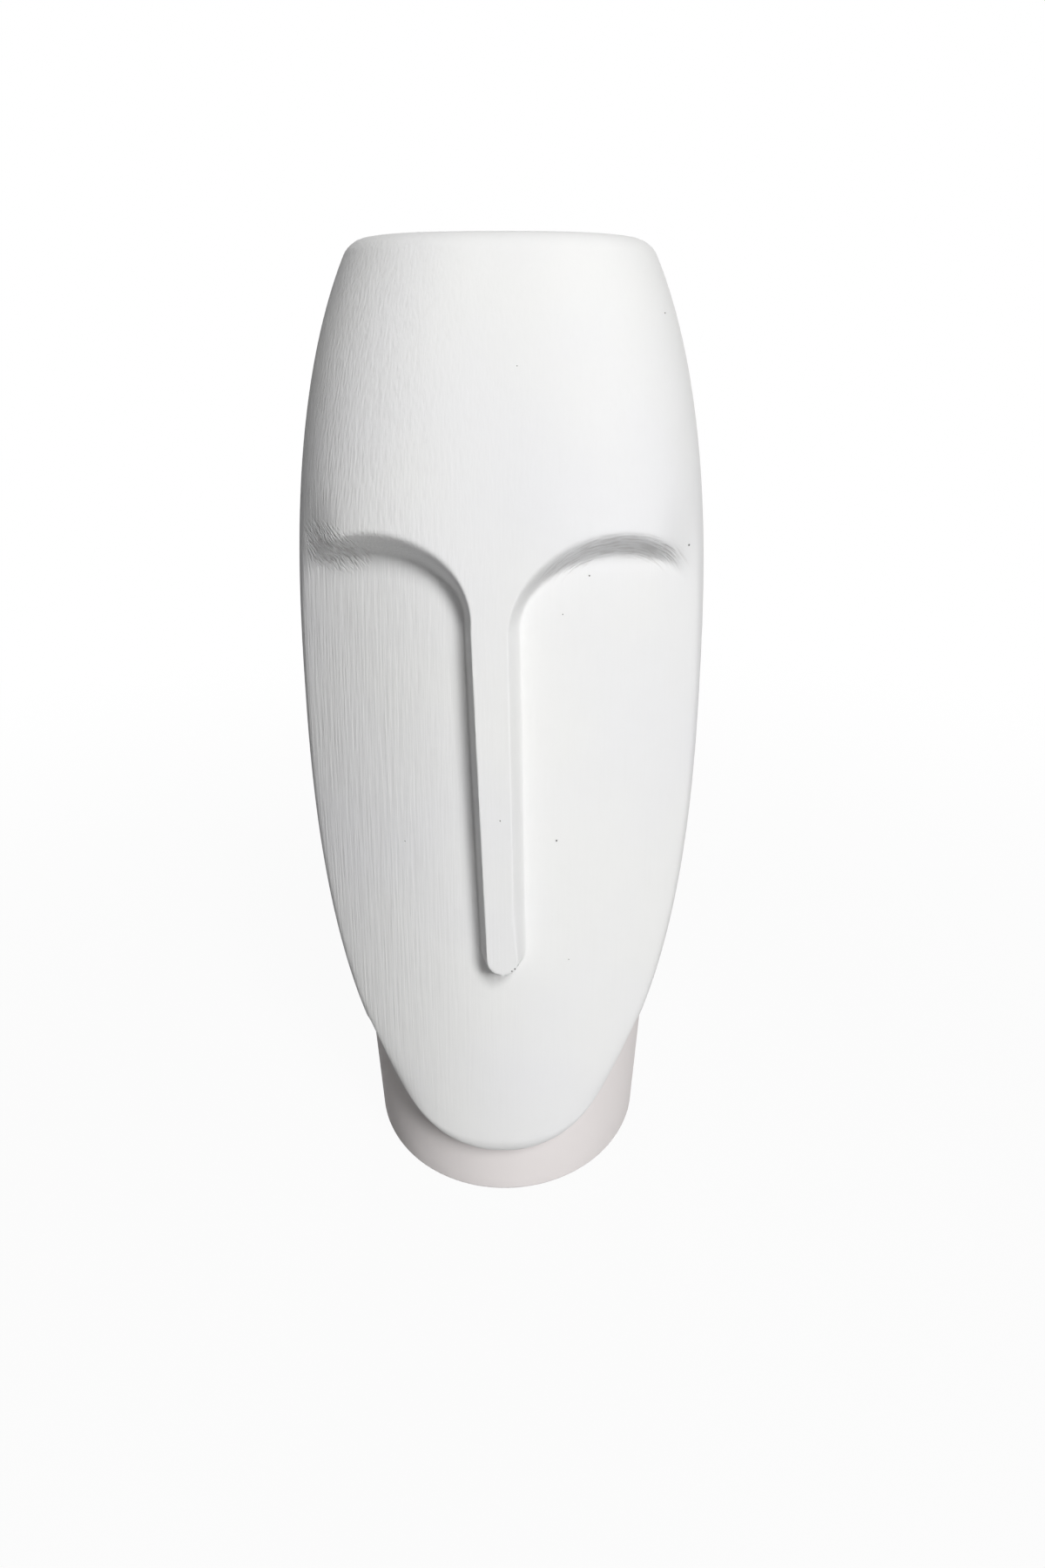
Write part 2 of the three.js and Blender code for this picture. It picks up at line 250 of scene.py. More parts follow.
@dataclass(frozen=True)
class EggCurve:
    """Side curve of the head: a peak reach, and a smaller reach at the rim and at the chin."""

    peak: float
    peak_height: float
    rim: float
    rim_height: float
    chin: float
    chin_height: float
    upper: float
    lower: float

    def half(self, z: Array, end: float, end_height: float, fullness: float) -> Array:
        """Reach on one side of the peak.

        Args:
            z: Heights.
            end: Reach at the end of this side.
            end_height: Height of that end.
            fullness: Power of the curve; 2 is an ellipse.

        Returns:
            The reach at each height.
        """
        part = (1 - (end / self.peak) ** fullness) ** (1 / fullness)
        span = abs(end_height - self.peak_height) / part
        s = np.minimum(np.abs(z - self.peak_height) / span, NEARLY_ONE)
        return self.peak * (1 - s ** fullness) ** (1 / fullness)

    def reach(self, z: Array) -> Array:
        """Reach at any height.

        Args:
            z: Heights.

        Returns:
            The reach at each height.
        """
        above = self.half(z, self.rim, self.rim_height, self.upper)
        below = self.half(z, self.chin, self.chin_height, self.lower)
        return np.where(z > self.peak_height, above, below)


@dataclass(frozen=True)
class HeadForm:
    """Sizes of the cast head in millimetres, and the surfaces that they give.

    Bearings and columns are in radians, with 0 at the front. A column follows the nose's lean.
    """

    height: float = 300.0
    chin_height: float = 27.0
    # Chin and jaw: turns are in degrees from the front.
    chin_underside: float = 5.8
    chin_roll: float = 10.0
    jaw_turn: float = 37.0
    jaw_tangent: float = 0.93
    jaw_ease: float = 0.12
    jaw_line: float = 55.0
    jaw_roll: float = 4.0
    jaw_slope: float = 16.5
    nape_drop: float = 7.0
    nape_turns: Pair = (80.0, 180.0)
    # Power of the plan's curve at the rim, at the chin and behind.
    plan_rim: float = 2.5
    plan_chin: float = 3.2
    plan_back: float = 2.2
    # Cheeks, and the arris where they meet the egg.
    cheek_reach: float = 70.8
    cheek_peak_height: float = 75.0
    cheek_bow_across: float = 65.0
    cheek_bow_down: float = 2300.0
    arris_ease: Pair = (1.0, 3.4)
    arris_heights: Pair = (75.0, 30.0)
    # Brows, the cove under them and the nose.
    brow_offset: float = 32.0
    brow_height: float = 202.5
    brow_rise: float = 25.0
    brow_cove: float = 8.0
    cove_ease: float = 0.75
    cove_skew: float = 0.82
    ridge_half_width: float = 5.3
    nose_taper: float = 0.9
    nose_flank: float = 2.5
    soft_flank: float = 0.9
    soft_flank_start: float = 4.0
    soft_flank_end: float = 22.0
    nose_tip: float = 98.5
    tip_squareness: float = 2.4
    nose_top_shift: float = -1.4
    nose_tip_shift: float = 1.1
    nose_shift_fade: float = 17.5
    # Temples, where the brows run out.
    temple_inner: float = 42.0
    temple_outer: float = 56.0
    temple_low: float = 204.0
    temple_high: float = 244.0
    # Neck and foot.
    foot_half_width: float = 48.0
    foot_half_depth: float = 59.8
    neck_half_width: float = 51.7
    neck_half_depth: float = 60.2
    neck_top: float = 64.0
    sole: float = 1.0
    foot_recess: float = 3.0
    foot_ring: float = 18.0
    foot_edge: float = 1.2
    # Inside.
    wall: float = 5.5
    floor: float = 7.0
    floor_fillet: float = 9.0
    glaze_drop: float = 7.0
    depth_shift: float = 3.5
    width: EggCurve = EggCurve(peak=63.1, peak_height=180.0, rim=43.1, rim_height=height,
                               chin=22.0, chin_height=chin_height, upper=2.4, lower=2.5)
    front: EggCurve = EggCurve(peak=79.0, peak_height=120.0, rim=54.0, rim_height=height,
                               chin=76.0, chin_height=chin_height, upper=2.4, lower=2.4)
    back: EggCurve = EggCurve(peak=72.0, peak_height=165.0, rim=54.0, rim_height=height,
                              chin=46.0, chin_height=chin_height, upper=2.4, lower=2.4)

    def plan_fullness(self, z: Array) -> Array:
        """How square the front half of the plan is at each height."""
        return self.plan_rim + (self.plan_chin - self.plan_rim) * share(z, self.height, self.chin_height)

    def egg_radius(self, bearing: Array, z: Array) -> Array:
        """Radius of the egg-shaped head.

        Args:
            bearing: Bearings.
            z: Heights.

        Returns:
            The radius at each point.
        """
        front = np.cos(bearing) > 0
        m = np.where(front, self.plan_fullness(z), self.plan_back)
        reach = np.where(front, self.front.reach(z), self.back.reach(z))
        across = np.abs(np.sin(bearing)) / self.half_width(z)
        along = np.abs(np.cos(bearing)) / reach
        return (across ** m + along ** m) ** (-1 / m)

    def cheek_radius(self, bearing: Array, z: Array) -> Array:
        """Radius of the bowed surface that the cheeks and the chin lie on.

        Args:
            bearing: Bearings.
            z: Heights.

        Returns:
            The radius at each point, out of reach behind the face.
        """
        c = np.cos(bearing)
        reach = self.cheek_reach - (z - self.cheek_peak_height) ** 2 / (2 * self.cheek_bow_down)
        s = np.maximum(np.sin(bearing) ** 2 / self.cheek_bow_across, TINY)
        r = (np.sqrt(c * c + 2 * reach * s) - c) / s
        return np.where(c > 0, r, FAR)

    def neck_radius(self, bearing: Array, z: Array) -> Array:
        """Radius of the oval neck.

        Args:
            bearing: Bearings.
            z: Heights.

        Returns:
            The radius at each point.
        """
        t = share(z, self.sole, self.neck_top)
        w = self.foot_half_width + (self.neck_half_width - self.foot_half_width) * t
        d = self.foot_half_depth + (self.neck_half_depth - self.foot_half_depth) * t
        return 1 / np.hypot(np.sin(bearing) / w, np.cos(bearing) / d)

    def head_radius(self, bearing: Array, z: Array) -> Array:
        """Radius of egg and cheeks with a soft arris between them, which is rounder at the chin.

        Args:
            bearing: Bearings.
            z: Heights.

        Returns:
            The radius at each point.
        """
        sharp, round_off = self.arris_ease
        ease = sharp + (round_off - sharp) * share(z, *self.arris_heights)
        return soft_min(self.egg_radius(bearing, z), self.cheek_radius(bearing, z), ease)

    def half_width(self, z: Array) -> Array:
        """Half width of the egg, which runs on straight below the jaw line.

        Args:
            z: Heights.

        Returns:
            The half width at each height.
        """
        at, step = np.float64(self.jaw_line), 0.5
        slope = (self.width.reach(at + step) - self.width.reach(at)) / step
        return self.width.reach(np.maximum(z, at)) - slope * np.maximum(at - z, 0)

    def jaw_height(self, column: Array) -> Array:
        """Height of the edge where the head stands out over the neck.

        Args:
            column: Columns.

        Returns:
            The height, a U round the chin, level at the sides and lower at the nape.
        """
        turn = turn_from_front(column)
        t = np.minimum(turn / self.jaw_turn, self.jaw_tangent)
        flat = math.sqrt(1 - self.jaw_tangent ** 2)
        beyond = np.maximum(turn / self.jaw_turn - self.jaw_tangent, 0) * self.jaw_tangent / flat
        rise = soft_min(1 - np.sqrt(1 - t * t) + beyond, np.float64(1.0), self.jaw_ease)
        low = self.chin_height - self.chin_underside
        return low + (self.neck_top - low) * rise - self.nape_drop * eased(turn, *self.nape_turns)

    def jaw_roll_at(self, column: Array, z: Array) -> Array:
        """How far the head has rolled out over the neck.

        Args:
            column: Columns.
            z: Heights.

        Returns:
            0 at the jaw's edge, 1 past the roll.
        """
        near = np.clip(1 - turn_from_front(column) / self.jaw_turn, 0, 1)
        roll = self.jaw_roll + (self.chin_roll - self.jaw_roll) * near
        step = 0.002
        climb = self.jaw_height(column + step) - self.jaw_height(column - step)
        slope = climb / (2 * step * self.cheek_reach)
        away = (z - self.jaw_height(column)) / np.sqrt(1 + slope * slope)
        return np.sqrt(1 - (1 - share(away, 0.0, roll)) ** 2)

    def form_radius(self, bearing: Array, z: Array, out: Array) -> Array:
        """Neck with the head standing out over it by a share, without the brows and the nose.

        Args:
            bearing: Bearings.
            z: Heights.
            out: 0 on the neck, 1 on the head.

        Returns:
            The radius at each point.
        """
        neck, head = self.neck_radius(bearing, z), self.head_radius(bearing, z)
        return np.where(out >= 1, head, neck + np.maximum(head - neck, 0) * out)

    def nose_middle(self, z: Array) -> Array:
        """Sideways place of the nose's middle line.

        Args:
            z: Heights.

        Returns:
            The place, which fades to the middle above the brows and below the tip.
        """
        above = share(z, self.brow_height, self.brow_height + self.nose_shift_fade)
        below = share(z, self.nose_tip, self.chin_height)
        down = share(z, self.brow_height, self.nose_tip)
        line = self.nose_top_shift + (self.nose_tip_shift - self.nose_top_shift) * down
        return line * (1 - above) * (1 - below)

    def proud(self, x: Array, z: Array) -> Array:
        """How far the face stands out from the cheeks.

        Args:
            x: Sideways places.
            z: Heights.

        Returns:
            1 on the forehead, the brows and the nose, 0 on the cheeks, and a cove between them.
        """
        p = self.tip_squareness
        taper = self.nose_taper * share(z, self.brow_height, self.nose_tip)
        side = np.abs(x - self.nose_middle(z)) + taper
        below = np.maximum(self.nose_tip + self.ridge_half_width - z, 0)
        away = (side ** p + below ** p) ** (1 / p)
        across = np.where(away < self.brow_offset, self.brow_offset - away,
                          np.maximum(side - self.brow_offset, 0))
        up = np.maximum(z - self.brow_height, 0)
        wide = self.brow_offset - self.ridge_half_width
        above = eased(z - self.nose_tip, self.soft_flank_start, self.soft_flank_end)
        soft = np.where(x > self.nose_middle(z), self.soft_flank * above, 0)
        outer = np.hypot(across / (wide + soft), up / self.brow_rise)
        inner = np.hypot(across / (wide - self.nose_flank), up / (self.brow_rise - self.brow_cove))
        u = np.clip((1 - outer) / np.maximum(inner - outer, TINY), 0, 1)
        cove = 1 - (1 - self.cove_ease) * u - self.cove_ease * eased(u ** self.cove_skew, 0.0, 1.0)
        stand = np.where(outer >= 1, 1.0, np.where(inner <= 1, 0.0, cove))
        return stand * (1 - self.temple(x, z))

    def temple(self, x: Array, z: Array) -> Array:
        """1 at the temples, where the brows run out into the cheeks, 0 over the middle and high up."""
        out = eased(np.abs(x), self.temple_inner, self.temple_outer)
        return out * (1 - eased(z, self.temple_low, self.temple_high))

    def outside(self, column: Array, z: Array, inset: float = 0.0) -> Array:
        """Points on the outside of the vase.

        Args:
            column: Columns.
            z: Heights.
            inset: How far the points are drawn in towards the axis.

        Returns:
            Points with x, y and z last.
        """
        bearing = column + np.maximum(np.cos(column), 0) * self.nose_middle(z) / self.cheek_reach
        r = self.form_radius(bearing, z, self.jaw_roll_at(column, z))
        x, y = r * np.sin(bearing), -r * np.cos(bearing)
        m = self.plan_fullness(z)
        across = np.clip(np.abs(x) / self.half_width(z), 0, 1)
        brow = -self.front.reach(z) * (1 - across ** m) ** (1 / m)
        face = (y < 0) & (z > self.nose_tip - self.nose_flank)
        y = np.where(face, y + self.proud(x, z) * (np.minimum(brow, y) - y), y)
        shrink = 1 - inset / np.hypot(x, y)
        return np.stack([x * shrink, y * shrink, z + 0 * x], axis=-1)

    def inside(self, column: Array, z: Array, inset: float = 0.0) -> Array:
        """Points on the inside of the wall.

        Args:
            column: Columns.
            z: Heights.
            inset: How far the points are drawn in from the wall.

        Returns:
            Points with x, y and z last.
        """
        above = z - self.jaw_height(column) - self.wall
        cheek = self.form_radius(column, z, eased(above, 0.0, self.jaw_slope))
        forehead = share(z - self.brow_height, self.brow_rise, 2 * self.brow_rise)
        opening = np.maximum(self.egg_radius(column, z) - cheek, 0)
        r = cheek + forehead * opening - self.wall - inset
        return np.stack([r * np.sin(column), -r * np.cos(column), z + 0 * r], axis=-1)


def skin_from_rings(name: str, rings: Sequence[Array], shift_y: float) -> Piece:
    """Bends a grid into a closed skin through a row of rings.

    Args:
        name: Name of the new piece.
        rings: Rings of points in millimetres, each with its first point repeated at its end.
        shift_y: Move along Y in millimetres.

    Returns:
        The new object, with its seam and its poles merged and its faces outwards.
    """
    points = np.array(rings) + np.array([0.0, shift_y, 0.0])
    rows, columns = points.shape[:2]
    bpy.ops.object.select_all(action="DESELECT")
    bpy.ops.mesh.primitive_grid_add(x_subdivisions=columns - 1, y_subdivisions=rows - 1, size=2)
    piece = bpy.context.object
    piece.name = piece.data.name = name
    flat = np.empty(len(piece.data.vertices) * 3)
    piece.data.vertices.foreach_get("co", flat)
    flat = flat.reshape(-1, 3)
    i = np.rint((flat[:, 0] + 1) / 2 * (columns - 1)).astype(int)
    j = np.rint((flat[:, 1] + 1) / 2 * (rows - 1)).astype(int)
    piece.data.vertices.foreach_set("co", (points[j, i] * MM).ravel())
    piece.data.update()
    select_only(piece)
    bpy.ops.object.mode_set(mode="EDIT")
    bpy.ops.mesh.select_all(action="SELECT")
    bpy.ops.mesh.remove_doubles(threshold=MERGE_DISTANCE)
    bpy.ops.mesh.normals_make_consistent(inside=False)
    bpy.ops.object.mode_set(mode="OBJECT")
    bpy.ops.object.shade_smooth_by_angle(angle=math.radians(SKIN_CREASE))
    return piece


@dataclass(frozen=True)
class BrushedEngobe:
    """White engobe brushed on slip-cast stoneware.

    To the eye it is a neutral white without gloss, with fine upright brush lines where light grazes it,
    rough strokes where the brush turned at a brow's end, painted shade in the hollows of the brush marks,
    partly the body showing through a thinner coat, a pinkish neck with painted shade under the jaw, and a
    few pinholes darkened with painted shade. Lengths are in millimetres, angles in degrees.
    """

    name: str = "brushed_white_engobe"
    colour: str = "#E7E7E6"
    cool: str = "#E5E5E6"
    cloud_cell: Triple = (70.0, 70.0, 70.0)
    cloud_range: Pair = (-0.1, 0.15)
    # Pinkish neck, darker than the face: a tint of the body and painted shade under the jaw.
    neck_tint_and_shade: str = "#DFDAD9"
    neck_middle: Triple = (0.0, 3.5, 0.0)
    neck_reach: Triple = (52.5, 61.5, FAR)
    neck_edge: Pair = (1.0, 1.07)
    neck_top: Pair = (56.0, 66.0)
    roughness: Pair = (0.82, 0.94)
    # Height of a brush line, up or down, over which the roughness runs from one end to the other.
    rough_swing: float = 0.03
    grain_scatter: float = 0.15
    ior: float = 1.5
    # Real brush lines are 0.4 to 1 mm wide, and are drawn at the coarse end so that they show.
    streak_cell: Triple = (0.85, 0.85, 24.0)
    streak_depth: float = 0.15
    streak_sides: Pair = (-48.0, 4.0)
    streak_most: float = 1.6
    streak_least: float = 0.25
    streak_foot: Pair = (20.0, 75.0)
    # Engobe grit is about 0.1 mm, drawn at 0.5 mm so that it shows.
    grit_cell: Triple = (0.5, 0.5, 0.5)
    grit_depth: float = 0.010
    # Slow unevenness of a surface smoothed by hand.
    hand_cell: Triple = (14.0, 14.0, 14.0)
    hand_depth: float = 0.25
    # Strokes at the end of the brow on the shaded side.
    ripple_lean: float = 40.0
    ripple_cell: Triple = (0.6, 30.0, 2.4)
    ripple_depth: float = 1.15
    ripple_middle: Triple = (-46.0, -47.0, 221.0)
    ripple_reach: Triple = (15.0, 30.0, 9.0)
    ripple_edge: Pair = (0.35, 1.0)
    # Lines along the other brow's cove.
    sweep_middle: Triple = (32.0, -52.0, 202.5)
    sweep_reach: Triple = (26.7, 60.0, 25.0)
    sweep_inner: Pair = (0.62, 0.74)
    sweep_outer: Pair = (0.9, 1.04)
    sweep_foot: Pair = (212.0, 219.0)
    # The first size is across the cove, as a share of the brow's reach, so 0.024 is 0.6 mm.
    sweep_cell: Triple = (0.024, 5.5, 1.0)
    sweep_depth: float = 0.6
    # Darker colour in the hollows of the brush marks: painted shade, partly the body through a thinner coat.
    thin_coat_and_shade: str = "#B4B0AF"
    # Depth at which streaks, ripples and sweeps are thinnest, and the share of the darker colour that then
    # shows there: painted shade in the hollows, partly the body through a thinner coat.
    stroke_hollow_shade: tuple[Pair, ...] = ((0.05, 0.1), (0.16, 0.55), (0.05, 0.3))
    # Dark colour of the pinholes and the nick: painted shade in the pits.
    pinhole_shade: str = "#5E5C5A"
    hole_edge: Pair = (0.6, 1.15)
    hole_depth: float = 0.2
    # Depth counts a tenth, so that a hole stays on its own face and isn't lost where the face is bumpy.
    hole_flatness: float = 0.1
    # Place and radius of each pinhole; the last three are the nick beside the nose's tip.
    pinholes: tuple[tuple[float, float, float, float], ...] = (
        (16.8, -64.2, 137.8, 0.27), (53.9, -42.0, 220.0, 0.31), (45.2, -33.2, 280.8, 0.20),
        (5.6, -61.3, 268.4, 0.14), (25.1, -58.2, 214.6, 0.23), (17.9, -61.2, 204.6, 0.16),
        (-28.2, -60.4, 135.6, 0.17), (0.7, -75.3, 149.0, 0.19), (21.0, -63.8, 97.4, 0.17),
        (3.8, -75.4, 100.2, 0.23), (4.7, -75.4, 101.0, 0.28), (5.7, -74.5, 101.4, 0.23),
    )

    def relief(self, tree: Tree, place: Socket, cell: Sequence[float], depth: float) -> Socket:
        """Adds uneven relief.

        Args:
            tree: Node tree.
            place: Place in millimetres.
            cell: Size of one grain of the pattern along each axis.
            depth: Depth in millimetres.

        Returns:
            The height in millimetres, above and below zero.
        """
        return add_node(tree, "Math", {"operation": "MULTIPLY_ADD"},
                        {0: grains(tree, place, cell, detail=2.0), 1: depth, 2: -0.5 * depth}).outputs[0]

    def patch(self, tree: Tree, place: Socket, middle: Sequence[float], reach: Sequence[float]) -> Socket:
        """Measures how far a place lies from the middle of an oval patch.

        Args:
            tree: Node tree.
            place: Place in millimetres.
            middle: Middle of the patch.
            reach: Its half sizes.

        Returns:
            The distance, which is 1 on the patch's edge.
        """
        off = place
        for operation, by in (("SUBTRACT", middle), ("DIVIDE", reach)):
            off = add_node(tree, "VectorMath", {"operation": operation},
                           {0: off, 1: tuple(by)}).outputs[0]
        return add_node(tree, "VectorMath", {"operation": "LENGTH"}, {0: off}).outputs["Value"]

    def streaks(self, tree: Tree, place: Socket) -> Socket:
        """Adds the upright brush lines, which are weaker on the smoothed side and towards the foot.

        Args:
            tree: Node tree.
            place: Place in millimetres.

        Returns:
            The height in millimetres.
        """
        lines = self.relief(tree, place, self.streak_cell, self.streak_depth)
        axes = add_node(tree, "SeparateXYZ", None, {0: place})
        return faded(tree, lines,
                     Fade(axes.outputs["X"], self.streak_sides, (self.streak_most, self.streak_least)),
                     Fade(axes.outputs["Z"], self.streak_foot, (self.streak_least, 1.0)))

    def ripples(self, tree: Tree, place: Socket) -> Socket:
        """Adds the slanting strokes at the end of the brow on the shaded side.

        Args:
            tree: Node tree.
            place: Place in millimetres.

        Returns:
            The height in millimetres.
        """
        lean = add_node(tree, "Mapping", None,
                        {"Vector": place, "Rotation": (0.0, math.radians(self.ripple_lean), 0.0)})
        strokes = self.relief(tree, lean.outputs[0], self.ripple_cell, self.ripple_depth)
        away = self.patch(tree, place, self.ripple_middle, self.ripple_reach)
        return faded(tree, strokes, Fade(away, self.ripple_edge, (1.0, 0.0)))

    def sweeps(self, tree: Tree, place: Socket) -> Socket:
        """Adds the brush lines that follow the other brow's cove.

        Args:
            tree: Node tree.
            place: Place in millimetres.

        Returns:
            The height in millimetres.
        """
        away = self.patch(tree, place, self.sweep_middle, self.sweep_reach)
        axes = add_node(tree, "SeparateXYZ", None, {0: place})
        lines = add_node(tree, "CombineXYZ", None, {"X": away, "Y": axes.outputs["X"]})
        strokes = self.relief(tree, lines.outputs[0], self.sweep_cell, self.sweep_depth)
        return faded(tree, strokes, Fade(away, self.sweep_inner), Fade(away, self.sweep_outer, (1.0, 0.0)),
                     Fade(axes.outputs["Z"], self.sweep_foot))

    def pits(self, tree: Tree, place: Socket) -> Socket:
        """Adds the pinholes and the nick beside the nose's tip.

        Args:
            tree: Node tree.
            place: Place in millimetres.

        Returns:
            1 in a pinhole or the nick, 0 elsewhere.
        """
        flat = add_node(tree, "VectorMath", {"operation": "MULTIPLY"},
                        {0: place, 1: (1.0, self.hole_flatness, 1.0)})
        nearest: Socket | float = FAR
        for x, y, z, radius in self.pinholes:
            away = self.patch(tree, flat.outputs[0], (x, self.hole_flatness * y, z), (radius,) * 3)
            nearest = add_node(tree, "Math", {"operation": "MINIMUM"},
                               {0: away, 1: nearest}).outputs[0]
        return faded(tree, 1.0, Fade(nearest, self.hole_edge, (1.0, 0.0)))

    def tint(self, tree: Tree, place: Socket, strokes: Sequence[Socket], pits: Socket) -> Socket:
        """Adds the colours: cool clouds, a pinkish neck with painted shade under the jaw, painted shade in
        the hollows of the brush marks, partly the body through a thinner coat, and painted shade in the
        pinholes.

        Args:
            tree: Node tree.
            place: Place in millimetres.
            strokes: Heights of the brush marks, whose hollows let the clay through.
            pits: 1 in a pinhole.

        Returns:
            The colour.
        """
        low, high = self.cloud_range
        clouds = add_node(tree, "MapRange", None,
                          {"Value": self.relief(tree, place, self.cloud_cell, 1.0),
                           "From Min": low, "From Max": high}).outputs[0]
        axes = add_node(tree, "SeparateXYZ", None, {0: place})
        # The neck below the jaw takes the pinkish colour with its painted shade.
        out = self.patch(tree, place, self.neck_middle, self.neck_reach)
        neck = faded(tree, 1.0, Fade(axes.outputs["Z"], self.neck_top, (1.0, 0.0)),
                     Fade(out, self.neck_edge, (1.0, 0.0)))
        layers = [(clouds, self.cool), (neck, self.neck_tint_and_shade)]
        # Hollows of the brush marks take the darker colour: painted shade, partly the body through a thinner
        # coat.
        for height, (depth, clay_and_shade_share) in zip(strokes, self.stroke_hollow_shade):
            hollow_shade_level = add_node(tree, "MapRange", None,
                            {"Value": height, "From Min": 0.0, "From Max": -depth, "To Max": clay_and_shade_share})
            layers.append((hollow_shade_level.outputs[0], self.thin_coat_and_shade))
        colour: Any = linear(self.colour)
        # Each layer mixes in its colour; the neck, the hollows of the strokes and the pits carry painted
        # shade.
        for part, other in (*layers, (pits, self.pinhole_shade)):
            colour = add_node(tree, "Mix", {"data_type": "RGBA"},
                              {0: part, 6: colour, 7: linear(other)}).outputs[2]
        return colour

    def material(self) -> bpy.types.Material:
        """Builds the material.

        Returns:
            The finished material.
        """
        material, tree, shader, place = start_material(self.name)
        strokes = (self.streaks(tree, place), self.ripples(tree, place), self.sweeps(tree, place))
        pits = self.pits(tree, place)
        sunk = add_node(tree, "Math", {"operation": "MULTIPLY"}, {0: pits, 1: -self.hole_depth})
        height = strokes[0]
        for layer in (self.relief(tree, place, self.grit_cell, self.grit_depth),
                      self.relief(tree, place, self.hand_cell, self.hand_depth),
                      *strokes[1:], sunk.outputs[0]):
            height = add_node(tree, "Math", {"operation": "ADD"}, {0: height, 1: layer}).outputs[0]
        bump = add_node(tree, "Bump", None, {"Distance": MM, "Height": height})
        smooth, dull = self.roughness
        rough = add_node(tree, "MapRange", None,
                         {"Value": strokes[0], "From Min": -self.rough_swing, "From Max": self.rough_swing,
                          "To Min": smooth, "To Max": dull})
        tree.links.new(self.tint(tree, place, strokes, pits), shader.inputs["Base Color"])
        tree.links.new(rough.outputs[0], shader.inputs["Roughness"])
        tree.links.new(bump.outputs[0], shader.inputs["Normal"])
        shader.inputs["Diffuse Roughness"].default_value = self.grain_scatter
        shader.inputs["IOR"].default_value = self.ior
        return material


@dataclass(frozen=True)
class PouredGlaze:
    """White glaze poured into the vase and drained.

    To the eye it is glassy and a little uneven, faintly green where it pooled at the bottom.
    Lengths are in millimetres.
    """

    name: str = "poured_white_glaze"
    colour: str = "#F2F1EC"
    pooled: str = "#E3E6DF"
    pool_heights: Pair = (12.0, 60.0)
    roughness: Pair = (0.08, 0.18)
    ior: float = 1.52
    wave_cell: Triple = (16.0, 16.0, 45.0)
    wave_depth: float = 0.3
    wave_range: Pair = (0.3, 0.7)
    wave_tint: float = 0.4

    def material(self) -> bpy.types.Material:
        """Builds the material.

        Returns:
            The finished material.
        """
        material, tree, shader, place = start_material(self.name)
        waves = grains(tree, place, self.wave_cell)
        axes = add_node(tree, "SeparateXYZ", None, {0: place})
        pool = faded(tree, 1.0, Fade(axes.outputs["Z"], self.pool_heights, (1.0, 0.0)))
        thick = add_node(tree, "Math", {"operation": "MULTIPLY_ADD", "use_clamp": True},
                         {0: waves, 1: self.wave_tint, 2: pool})
        colour = add_node(tree, "Mix", {"data_type": "RGBA"},
                          {0: thick.outputs[0], 6: linear(self.colour), 7: linear(self.pooled)})
        gloss = add_node(tree, "MapRange", None,
                         {"Value": waves, "From Min": self.wave_range[0], "From Max": self.wave_range[1],
                          "To Min": self.roughness[0], "To Max": self.roughness[1]})
        bump = add_node(tree, "Bump", None, {"Distance": self.wave_depth * MM, "Height": waves})
        tree.links.new(colour.outputs[2], shader.inputs["Base Color"])
        tree.links.new(gloss.outputs[0], shader.inputs["Roughness"])
        tree.links.new(bump.outputs[0], shader.inputs["Normal"])
        shader.inputs["IOR"].default_value = self.ior
        return material


@dataclass(frozen=True)
class WoolFelt:
    """Pressed wool felt, die-cut.

    To the eye it is off-white and fuzzy, with matted fibres, painted shade low between them and no gloss.
    Lengths are in millimetres.
    """

    name: str = "pressed_wool_felt"
    colour: str = "#D9D3C6"
    # Darker colour low between the fibres: painted shade in the hollows.
    shade: str = "#BDB5A5"
    roughness: float = 1.0
    sheen: float = 0.25
    # Wool fibres are 0.03 mm thick, and are drawn ten times as thick so that they show.
    fibre_cell: Triple = (0.3, 2.2, 0.3)
    fibre_turns: tuple[float, ...] = (20.0, 80.0, 140.0)
    fibre_depth: float = 0.12
    fibre_range: Pair = (0.45, 0.75)

    def material(self) -> bpy.types.Material:
        """Builds the material.

        Returns:
            The finished material.
        """
        material, tree, shader, place = start_material(self.name)
        matted: Socket | float = 0.0
        for turn in self.fibre_turns:
            laid = add_node(tree, "Mapping", None,
                            {"Vector": place, "Rotation": (0.0, 0.0, math.radians(turn))})
            fibres = grains(tree, laid.outputs[0], self.fibre_cell)
            matted = add_node(tree, "Math", {"operation": "MAXIMUM"},
                              {0: fibres, 1: matted}).outputs[0]
        low, high = self.fibre_range
        # Low parts of the fibres take the darker colour: painted shade.
        upper = add_node(tree, "MapRange", None, {"Value": matted, "From Min": low, "From Max": high})
        colour = add_node(tree, "Mix", {"data_type": "RGBA"},
                          {0: upper.outputs[0], 6: linear(self.shade), 7: linear(self.colour)})
        bump = add_node(tree, "Bump", None, {"Distance": self.fibre_depth * MM, "Height": matted})
        tree.links.new(colour.outputs[2], shader.inputs["Base Color"])
        tree.links.new(bump.outputs[0], shader.inputs["Normal"])
        shader.inputs["Roughness"].default_value = self.roughness
        shader.inputs["Sheen Weight"].default_value = self.sheen
        return material


def dress(piece: Piece, material: bpy.types.Material, node: str) -> None:
    """Gives a piece its material, its body and the solid that it stands for.

    Args:
        piece: Finished piece.
        material: Its material.
        node: Node that the piece replaces.
    """
    piece.data.materials.clear()
    piece.data.materials.append(material)
    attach(piece, "root")
    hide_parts(node)
    log.info("%s: %d faces, stands for %s", piece.name, len(piece.data.polygons), node)


